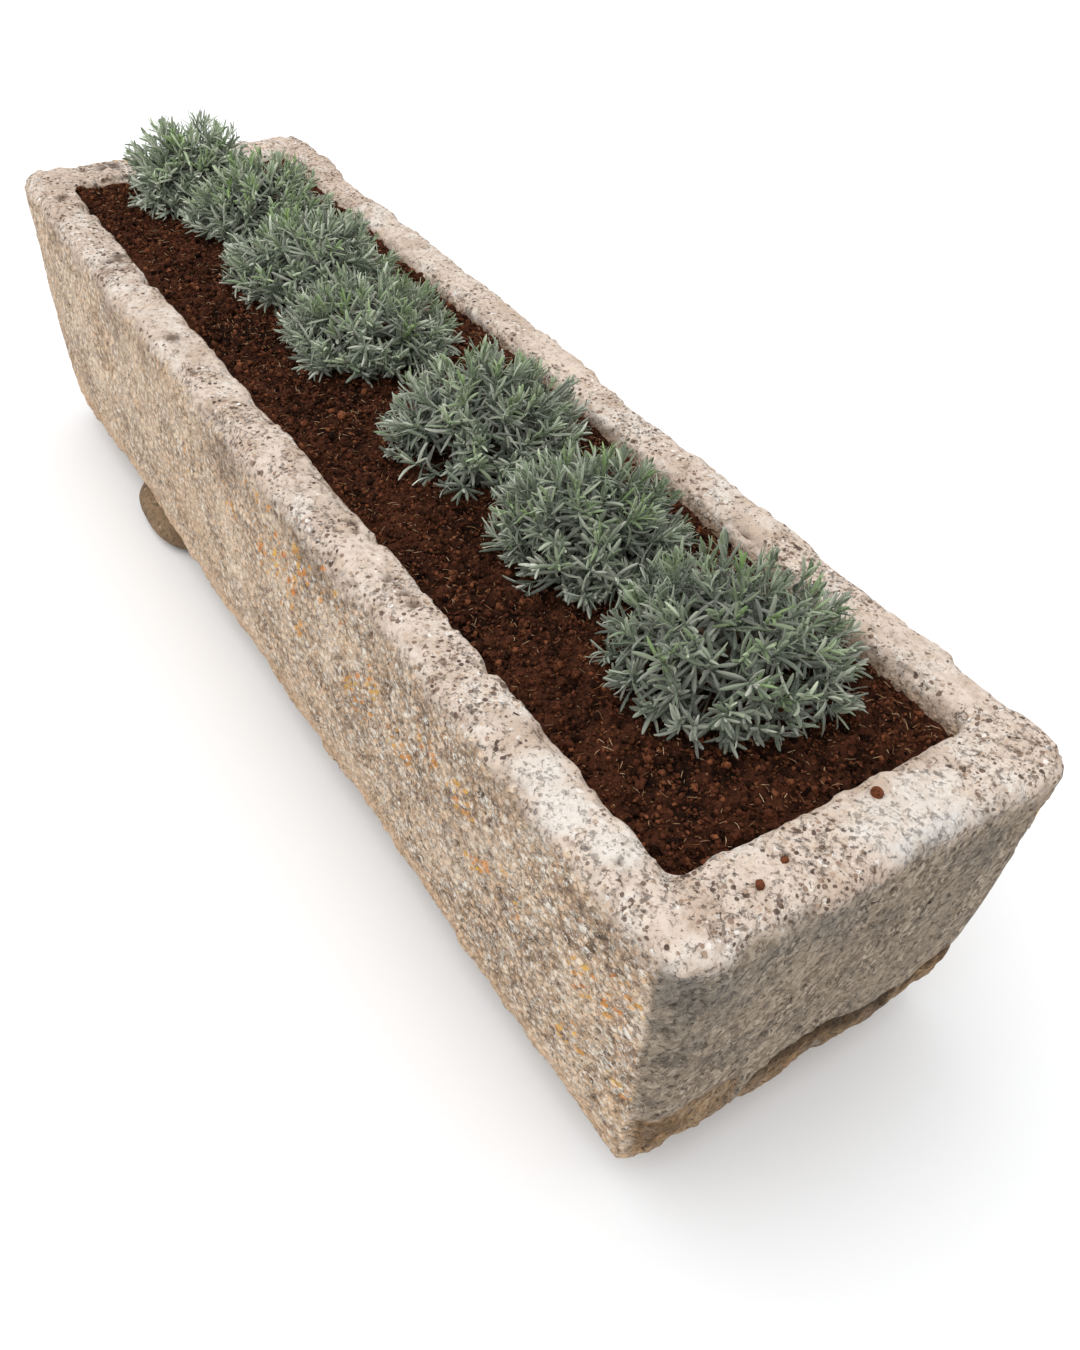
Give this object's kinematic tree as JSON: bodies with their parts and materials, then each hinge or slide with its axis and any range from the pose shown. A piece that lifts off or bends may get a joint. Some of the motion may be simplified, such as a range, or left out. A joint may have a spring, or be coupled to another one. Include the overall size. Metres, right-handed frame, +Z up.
{
  "type": "water trough",
  "caption": "Long hewn limestone water trough on cobbles, filled with soil and planted with a row of clipped lavender.",
  "frame": {"origin": "on the ground, under the middle of the trough", "axes": "+X along the trough to the end with the chipped foot, -Y the long side where a cobble shows, +Z up"},
  "size_m": [2.206, 0.632, 0.6985],
  "materials": {
    "trough_stone": "rough, weathered, pitted",
    "cobble": "matt, water-worn",
    "soil": "damp crumb with fibres",
    "gravel": "matt, washed",
    "fleece": "felted, non-woven",
    "fired_clay": "unglazed",
    "bark": "flaking, dry",
    "leaf": "matt, finely felted"
  },
  "bodies": {
    "root": {"drain_crock_1": "fired_clay", "drain_crock_2": "fired_clay", "drain_crock_3": "fired_clay", "drainage_gravel": "gravel", "filter_fleece": "fleece", "foliage_1": "leaf", "foliage_2": "leaf", "foliage_3": "leaf", "foliage_4": "leaf", "foliage_5": "leaf", "foliage_6": "leaf", "foliage_7": "leaf", "potting_soil": "soil", "root_ball_1": "soil", "root_ball_2": "soil", "root_ball_3": "soil", "root_ball_4": "soil", "root_ball_5": "soil", "root_ball_6": "soil", "root_ball_7": "soil", "support_stone_far_left": "cobble", "support_stone_far_right": "cobble", "support_stone_near_left": "cobble", "support_stone_near_right": "cobble", "trough_body": "trough_stone", "woody_stems_1": "bark", "woody_stems_2": "bark", "woody_stems_3": "bark", "woody_stems_4": "bark", "woody_stems_5": "bark", "woody_stems_6": "bark", "woody_stems_7": "bark"}
  },
  "joints": []
}
